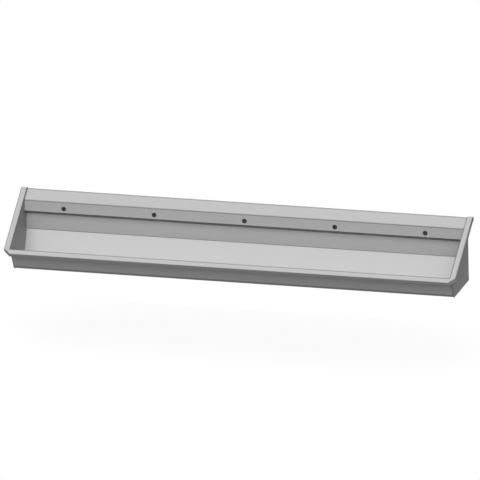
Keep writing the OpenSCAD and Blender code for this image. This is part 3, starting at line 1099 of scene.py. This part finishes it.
@dataclass
class Trough(SubAssembly):
    """Folded basin, end panels, tap panel and its seal."""

    seam_r: float = 1.6 * MM
    seam_sides: int = 8

    def make(self) -> None:
        """Dress the sheet metal and lay the ground welds in the ends' corners."""
        self.dress(["trough_basin"], BASIN_STEEL)
        self.dress(["tap_panel"], PANEL_STEEL)
        self.dress(["left_end_panel", "right_end_panel"], END_STEEL)
        self.dress(["panel_seal"], RUBBER)
        right = self.end_seam()
        left = close(copied(right, Matrix.Scale(-1, 4, (1, 0, 0))))
        for seam in (named(left, "left_end_seam"), right):
            self.place(smooth(seam), GROUND_WELD, "satin_stainless_end")

    def end_seam(self) -> Piece:
        """Run a fillet of weld down the corner between the basin and the right end."""
        path = [
            SECTION.front_top,
            SECTION.front_foot,
            SECTION.floor_back,
            SECTION.back_foot,
            SECTION.undercut_back,
        ]
        start = unit(path[0], path[1])
        middle_x = SECTION.inner_x
        seam = primitive(
            bpy.ops.mesh.primitive_circle_add,
            "right_end_seam",
            vertices=self.seam_sides,
            radius=self.seam_r,
            fill_type="NGON",
            location=(middle_x, *path[0]),
            rotation=(math.atan2(-start[0], start[1]), 0, 0),
        )
        with editing(seam):
            for i, (here, there) in enumerate(zip(path, path[1:])):
                leg = (0, there[0] - here[0], there[1] - here[1])
                bpy.ops.mesh.extrude_region_move(TRANSFORM_OT_translate={"value": leg})
                if i + 2 < len(path):
                    before, after = unit(here, there), unit(there, path[i + 2])
                    turn = math.atan2(after[1], after[0]) - math.atan2(before[1], before[0])
                    bpy.ops.transform.rotate(
                        value=-math.remainder(turn, math.tau),
                        orient_axis="X",
                        center_override=(middle_x, *there),
                    )
        return close(seam)


@dataclass
class WallFixings(SubAssembly):
    """Rail along the wall and the four welded brackets."""

    count: int = 4
    pitch: float = 600 * MM
    plate_t: float = 4 * MM
    web_low: float = 50 * MM
    web_top: float = 218 * MM
    arm_l: float = 280 * MM
    bead_l: float = 32 * MM
    bead_r: float = 2.4 * MM
    wall_beads: int = 4
    seat_beads: int = 2

    def make(self) -> None:
        """Dress the rail and brackets and weld the brackets' plates."""
        brackets = [f"wall_bracket_{i + 1}" for i in range(self.count)]
        self.dress(["top_rail", *brackets], ZINC)
        bead = weld_bead("bead", self.bead_l, self.bead_r)
        for x, name in zip(spaced(self.count, self.pitch), brackets):
            piece = copies(bead, self.bead_places(x), f"{name}_welds")
            self.place(piece, BRACKET_WELD, "galvanised_steel")
        bpy.data.objects.remove(bead)

    def bead_places(self, x: float) -> list[Matrix]:
        """Find where the beads of a bracket go, on both sides of its web.

        Args:
            x: the bracket's middle.

        Returns:
            The place of each bead.
        """
        places = []
        low = UNDERSIDE - self.web_low + self.bead_l
        high = UNDERSIDE + self.web_top - self.bead_l
        under = UNDERSIDE - self.plate_t
        upright = Matrix.Rotation(QUARTER_TURN, 4, "Y")
        level = Matrix.Rotation(QUARTER_TURN, 4, "Z")
        for beside in (x - self.plate_t / 2, x + self.plate_t / 2):
            for k in range(self.wall_beads):
                z = low + (high - low) * k / (self.wall_beads - 1)
                places.append(Matrix.Translation((beside, -self.plate_t, z)) @ upright)
            for k in range(self.seat_beads):
                share = (k + 0.5) / self.seat_beads
                y = -SECTION.floor_gap - share * (self.arm_l - SECTION.floor_gap)
                places.append(Matrix.Translation((beside, y, under)) @ level)
        return places


@dataclass
class TapFixings(SubAssembly):
    """Backing plates, and the screws and nuts that hold the undercut.

    The dome is the outline of the screws' head, as shares of its radius and height.
    """

    tap_count: int = 5
    screw_count: int = 6
    screw_pitch: float = 540 * MM
    screw_inset: float = 20 * MM
    shank_r: float = 2.5 * MM
    shank_l: float = 12 * MM
    point_share: float = 0.8
    point_l: float = 0.5 * MM
    thread_depth: float = 0.4 * MM
    pitch: float = 0.8 * MM
    head_r: float = 4.75 * MM
    head_h: float = 3 * MM
    dome: tuple[Flat, ...] = (
        (0.98, 0.0), (1.0, 0.15), (0.97, 0.45), (0.86, 0.75), (0.68, 0.93), (0.5, 1.0)
    )
    key_flats: float = 3 * MM
    key_reach: Flat = (3.3 * MM, 1.2 * MM)
    nut_flats: float = 8 * MM
    nut_h: float = 4 * MM
    nut_gap: float = 5 * MM
    bore_r: float = 2.55 * MM

    def make(self) -> None:
        """Dress the plates and make the screws and nuts."""
        self.dress([f"tap_plate_{i + 1}" for i in range(self.tap_count)], ZINC)
        nut = hex_nut("nut", self.nut_flats, self.nut_h, self.bore_r)
        for pattern, along, kind in ((self.screw(), 0.0, "screws"), (nut, self.nut_gap, "nuts")):
            piece = smooth(copies(pattern, self.places(along), f"undercut_{kind}"))
            self.place(piece, BOLT_STEEL, "fastener_stainless", stands_for=[f"panel_{kind}"])
            bpy.data.objects.remove(pattern)

    def screw(self) -> Piece:
        """Return a domed screw with a hexagon socket, its head below Z = 0."""
        core = self.shank_r - self.thread_depth
        tip = [(self.point_share * core, self.shank_l), (core, self.shank_l - self.point_l)]
        head = scaled(self.dome, self.head_r, -self.head_h)
        body = turned("screw", [*tip, (core, 0.0), *head], segments=32)
        cut(body, prism("socket", self.key_flats, *(-reach for reach in self.key_reach)))
        ridge = thread("ridge", self.shank_r, self.pitch, 0.0, self.shank_l, steps=20)
        return joined([body, ridge], "screw")

    def places(self, along: float) -> list[Matrix]:
        """Find the screws' axes.

        Args:
            along: how far along them from the undercut.

        Returns:
            The place of each screw.
        """
        back = SECTION.undercut_back
        way = unit(back, SECTION.tap_foot)
        off = (way[1], -way[0])
        foot = Vector(back) + self.screw_inset * Vector(way) + along * Vector(off)
        tilt = Matrix.Rotation(-math.atan2(*off), 4, "X")
        return [
            Matrix.Translation((x, *foot)) @ tilt
            for x in spaced(self.screw_count, self.screw_pitch)
        ]


@dataclass
class WasteFitting(SubAssembly):
    """Waste body with its threads, gaskets, back nut and strainer basket.

    The shoulder rounds the flange's edge: how far in each ring is in metres, and how high as
    a share of the flange. The rivet's outline is in millimetres below the basket's floor.
    """

    centre_y: float = -200 * MM
    flange_z: float = -3 * MM
    flange_t: float = 3 * MM
    flange_r: float = 42.5 * MM
    shoulder: tuple[Flat, ...] = (
        (0.1 * MM, 0.35), (0.9 * MM, 0.7), (2.0 * MM, 0.92), (3.2 * MM, 1.0)
    )
    seat_r: float = 29.5 * MM
    seat_z: float = -1.7 * MM
    bore_r: float = 20 * MM
    edge: float = 0.4 * MM
    tail_r: float = 23.9 * MM
    tail_end: float = -47 * MM
    groove_top: float = -19 * MM
    groove_foot: float = -21 * MM
    groove_h: float = 1.2 * MM
    pitch: float = 2.3 * MM
    depth_share: float = 0.45
    thread_gap: float = 1.5 * MM
    nut_z: float = -18 * MM
    nut_h: float = 9 * MM
    nut_flats: float = 58.9 * MM
    nut_bore: float = 24.1 * MM
    basket_foot: float = -23.7 * MM
    rivet_outline: tuple[Flat, ...] = (
        (6.2, 0.0), (6.2, 0.7), (5.9, 1.0), (3.6, 1.0), (3.3, 1.8), (2.2, 2.5), (0.8, 2.8)
    )

    def make(self) -> None:
        """Dress what the source shapes well and make what it leaves plain."""
        self.dress(["waste_top_gasket", "waste_bottom_gasket"], RUBBER)
        self.dress(["strainer_basket"], POLISHED)
        body = self.set_down(self.body(), "threaded_waste", 0.0)
        self.place(body, POLISHED, "polished_stainless", stands_for=["waste_body"])
        nut = hex_nut("nut", self.nut_flats, self.nut_h, self.nut_bore)
        nut = self.set_down(nut, "back_nut", self.nut_z)
        self.place(nut, BRASS, "brass", stands_for=["waste_nut"])
        rivet = turned("rivet", scaled(self.rivet_outline, MM, -MM), segments=32)
        rivet = self.set_down(rivet, "knob_rivet", self.basket_foot)
        self.place(rivet, POLISHED, "polished_stainless", body="strainer")

    def set_down(self, obj: Piece, name: str, rise: float) -> Piece:
        """Move an object to the waste's axis, this far above the floor's underside."""
        obj.data.transform(Matrix.Translation((0, self.centre_y, UNDERSIDE + rise)))
        return smooth(named(obj, name))

    def body(self) -> Piece:
        """Return the flange and the threaded tail."""
        bore, tail, seat, flange = self.bore_r, self.tail_r, self.seat_r, self.flange_r
        edge, end, under = self.edge, self.tail_end, self.flange_z
        core, groove = tail - self.depth_share * self.pitch, tail - self.groove_h
        rings = self.shoulder
        shoulder = [(flange - inset, under + share * self.flange_t) for inset, share in rings]
        top = shoulder[-1][1]
        profile = [
            (bore, end + edge),
            (bore + edge, end),
            (core - edge, end),
            (core, end + edge),
            (core, self.groove_foot),
            (groove, self.groove_foot),
            (groove, self.groove_top),
            (core, self.groove_top),
            (core, under),
            (flange - edge, under),
            (flange, under + edge),
            *shoulder,
            (seat + edge, top),
            (seat, top - edge),
            (seat, self.seat_z),
            (bore + edge, self.seat_z),
            (bore, self.seat_z - edge),
            (bore, end + edge),
        ]
        body = turned("waste", profile, segments=96)
        lower = thread("lower", tail, self.pitch, end, self.groove_foot, steps=48)
        stop = under - self.thread_gap
        upper = thread("upper", tail, self.pitch, self.groove_top, stop, steps=48)
        return joined([body, lower, upper], "waste")


@dataclass
class Underside(SubAssembly):
    """Stiffener, sound pads and earthing under the floor.

    The spot is the outline of a spot weld, as shares of its radius and height.
    """

    stiffener_y: float = -324 * MM
    spot_reach: float = 18.2 * MM
    spot_pitch: float = 100 * MM
    spot_count: int = 28
    spot_r: float = 2.3 * MM
    spot_h: float = 0.35 * MM
    spot: tuple[Flat, ...] = ((1.0, 0.0), (1.0, 0.6), (0.75, 1.0), (0.5, 0.45))
    pad_rows: int = 5
    pad_columns: int = 18
    pad_size: Point = (460 * MM, 130 * MM, 3 * MM)
    pad_y: float = -205 * MM
    pad_xs: tuple[float, ...] = (-1200 * MM, -600 * MM, 600 * MM, 1200 * MM)
    pad_relief: float = 0.9 * MM
    pad_border: float = 2 * MM
    pad_slope: float = 1.5 * MM
    earth_y: float = -132 * MM
    earth_h: float = 24 * MM
    tag_t: float = 2 * MM
    bolt_r: float = 3 * MM
    bolt_l: float = 18 * MM
    bolt_flats: float = 10 * MM
    bolt_pitch: float = 1 * MM
    bolt_point: float = 0.6 * MM
    bolt_air: float = 0.05 * MM
    thread_depth: float = 0.5 * MM
    head_h: float = 4 * MM
    nut_h: float = 5 * MM

    def make(self) -> None:
        """Dress the nodes and make the pads, spot welds, bolt and nut."""
        self.dress(["floor_stiffener", "earth_tag"], MILL_STEEL)
        self.place(self.spot_welds(), SPOT_WELD, "mill_stainless")
        pattern = self.pad()
        for i, x in enumerate(self.pad_xs):
            pad = named(copied(pattern, Matrix.Translation((x, 0, 0))), f"pressed_pad_{i + 1}")
            self.place(pad, BOARD, "bitumen_pad", stands_for=[f"sound_pad_{i + 1}"])
        bpy.data.objects.remove(pattern)
        self.earthing()

    def spot_welds(self) -> Piece:
        """Return the spot welds along both feet of the stiffener."""
        spot = turned("spot", scaled(self.spot, self.spot_r, -self.spot_h), segments=12)
        foot = UNDERSIDE - SECTION.sheet
        places = [
            Matrix.Translation((x, y, foot))
            for y in (self.stiffener_y - self.spot_reach, self.stiffener_y + self.spot_reach)
            for x in spaced(self.spot_count, self.spot_pitch)
        ]
        welds = copies(spot, places, "stiffener_spot_welds")
        bpy.data.objects.remove(spot)
        return welds

    def pad(self) -> Piece:
        """Return a pad at x = 0, with pressed panels on its lower face."""
        length, width, thickness = self.pad_size
        pad = primitive(
            bpy.ops.mesh.primitive_grid_add,
            "pad",
            (length, width, 1.0),
            x_subdivisions=self.pad_columns,
            y_subdivisions=self.pad_rows,
            size=1,
            location=(0, self.pad_y, UNDERSIDE),
        )
        with editing(pad):
            down = (0, 0, self.pad_relief - thickness)
            bpy.ops.mesh.extrude_region_move(TRANSFORM_OT_translate={"value": down})
            bpy.ops.mesh.select_all(action="SELECT")
            bpy.ops.mesh.normals_make_consistent(inside=False)
            pick(pad, Element.FACE, lambda middle, normal: normal.z < -ALONG)
            for border, depth in ((self.pad_border, 0), (self.pad_slope, self.pad_relief)):
                bpy.ops.mesh.inset(use_individual=True, thickness=border, depth=depth)
        return pad

    def earthing(self) -> None:
        """Make the earthing bolt and its nut."""
        middle = (0, self.earth_y, UNDERSIDE - self.earth_h / 2)
        lay = Matrix.Translation(middle) @ Matrix.Rotation(QUARTER_TURN, 4, "X")
        core, tip = self.bolt_r - self.thread_depth, self.bolt_point - self.bolt_l
        profile = [(core, self.bolt_air), (core, tip), (core - self.bolt_point, -self.bolt_l)]
        parts = [
            chamfered_prism("head", self.bolt_flats, 0.0, self.head_h),
            turned("shank", profile, segments=32),
            thread("ridge", self.bolt_r, self.bolt_pitch, -self.bolt_l, 0.0, steps=24),
        ]
        bolt = joined(parts, "earthing_bolt")
        nut = hex_nut("earthing_nut", self.bolt_flats, self.nut_h, self.bolt_r + self.bolt_air)
        nut.data.transform(Matrix.Translation((0, 0, -self.tag_t - self.nut_h)))
        for piece, finish, slot, node in (
            (bolt, BOLT_STEEL, "fastener_stainless", "earth_bolt"),
            (nut, BRASS, "brass", "earth_nut"),
        ):
            piece.data.transform(lay)
            self.place(smooth(piece), finish, slot, stands_for=[node])


# ---- Camera and studio ----


@dataclass(frozen=True)
class Studio:
    """Camera, floor and soft light.

    The horizon gives the slopes between which the room turns from its ground to its sky.
    """

    azimuth: float = math.radians(15.1)
    elevation: float = math.radians(18.16)
    roll: float = math.radians(0.99)
    picture: int = 480
    pixels_per_metre: float = 155.75
    aim: Point = (0.0, -0.4739, -0.2127)
    aim_pixel: Flat = (229.65, 263.86)
    camera_distance: float = 8.0
    floor_z: float = -1.03
    floor_middle: float = -0.25
    floor_size: Flat = (4.6, 2.6)
    floor_grey: float = 0.33
    shadow_share: float = 0.2
    floor_glow: float = 1.03
    sky: float = 0.49
    ground: float = 0.01
    horizon: Flat = (-0.05, 0.3)
    key_energy: float = 2.28
    key_angle: float = math.radians(52)
    key_way: Point = (0.13, -0.74, 0.67)
    fill_energy: float = 0.7
    fill_angle: float = math.radians(30)
    fill_way: Point = (0.0, 0.97, 0.22)

    def make(self) -> None:
        """Set the camera, light the scene and lay the floor."""
        bpy.context.scene.view_settings.view_transform = "Standard"
        self.set_camera()
        self.set_room()
        self.add_lamp("key", self.key_energy, self.key_angle, self.key_way)
        self.add_lamp("fill", self.fill_energy, self.fill_angle, self.fill_way)
        self.lay_floor()

    def set_camera(self) -> None:
        """Stand the camera where the photograph was taken from."""
        turn = (
            Matrix.Rotation(self.azimuth, 4, "Z")
            @ Matrix.Rotation(QUARTER_TURN - self.elevation, 4, "X")
            @ Matrix.Rotation(-self.roll, 4, "Z")
        )
        half = self.picture / 2
        across, down = ((half - pixel) / self.pixels_per_metre for pixel in self.aim_pixel)
        stand = Vector(self.aim) + turn @ Vector((across, -down, self.camera_distance))
        data = bpy.data.cameras.new("camera")
        data.type = "ORTHO"
        data.ortho_scale = self.picture / self.pixels_per_metre
        camera = bpy.data.objects.new("camera", data)
        bpy.context.scene.collection.objects.link(camera)
        camera.matrix_world = Matrix.Translation(stand) @ turn
        bpy.context.scene.camera = camera

    def set_room(self) -> None:
        """Light the object from a pale room that is dimmer towards its floor.

        The camera, and what looks through glass, sees it white all over.
        """
        world = bpy.data.worlds.new("white_room")
        bpy.context.scene.world = world
        graph = Graph(world)
        slope = graph.split(graph.node("TexCoord").outputs["Generated"])[2]
        level = slope.step(*self.horizon).between(self.ground, self.sky)
        colour = graph.blend(level.at_least(graph.seen()), BLACK, WHITE)
        shader = graph.node("Background", {}, {"Color": colour, "Strength": 1.0})
        graph.node("OutputWorld", {}, {"Surface": shader.outputs[0]})

    def add_lamp(self, name: str, energy: float, angle: float, way: Point) -> None:
        """Add one wide soft lamp, far off.

        The key stands high in front of the trough, and the fill low behind it, where it
        lights the side at the wall and nothing that the photograph shows.

        Args:
            name: what the lamp is called.
            energy: how strong it is.
            angle: how wide it looks from the trough, in radians.
            way: the direction to it.
        """
        lamp = bpy.data.lights.new(name, "SUN")
        lamp.energy = energy
        lamp.angle = angle
        stand = bpy.data.objects.new(name, lamp)
        stand.rotation_euler = Vector(way).to_track_quat("Z", "Y").to_euler()
        bpy.context.scene.collection.objects.link(stand)

    def lay_floor(self) -> None:
        """Lay a floor that is white to the camera but for the object's soft shadow."""
        floor = primitive(
            bpy.ops.mesh.primitive_plane_add,
            "studio_floor",
            (*self.floor_size, 1.0),
            size=1,
            location=(0, self.floor_middle, self.floor_z),
        )
        material = bpy.data.materials.new("studio_floor")
        graph = Graph(material)
        grey = (self.floor_grey, self.floor_grey, self.floor_grey)
        plain, shaded = (
            graph.node("BsdfDiffuse", {}, {"Color": (*colour, 1.0)}).outputs[0]
            for colour in (grey, WHITE)
        )
        glow = graph.node("Emission", {}, {"Strength": self.floor_glow}).outputs[0]
        pale = graph.mixed(self.shadow_share, glow, shaded)
        top = graph.mixed(graph.seen(), plain, pale)
        below = graph.node("NewGeometry").outputs["Backfacing"]
        clear = graph.node("BsdfTransparent").outputs[0]
        both = graph.mixed(below, top, clear)
        graph.node("OutputMaterial", {}, {"Surface": both})
        floor.data.materials.append(material)


def main() -> None:
    """Load the frame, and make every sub-assembly in order."""
    logging.basicConfig(level=logging.INFO, format="%(name)s: %(message)s")
    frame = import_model()
    nodes = frame["nodes"]
    for kind in (Trough, WallFixings, TapFixings, WasteFitting, Underside):
        LOG.info("making %s", kind.__name__)
        kind(nodes).make()
    Studio().make()


if __name__ == "__main__":
    main()
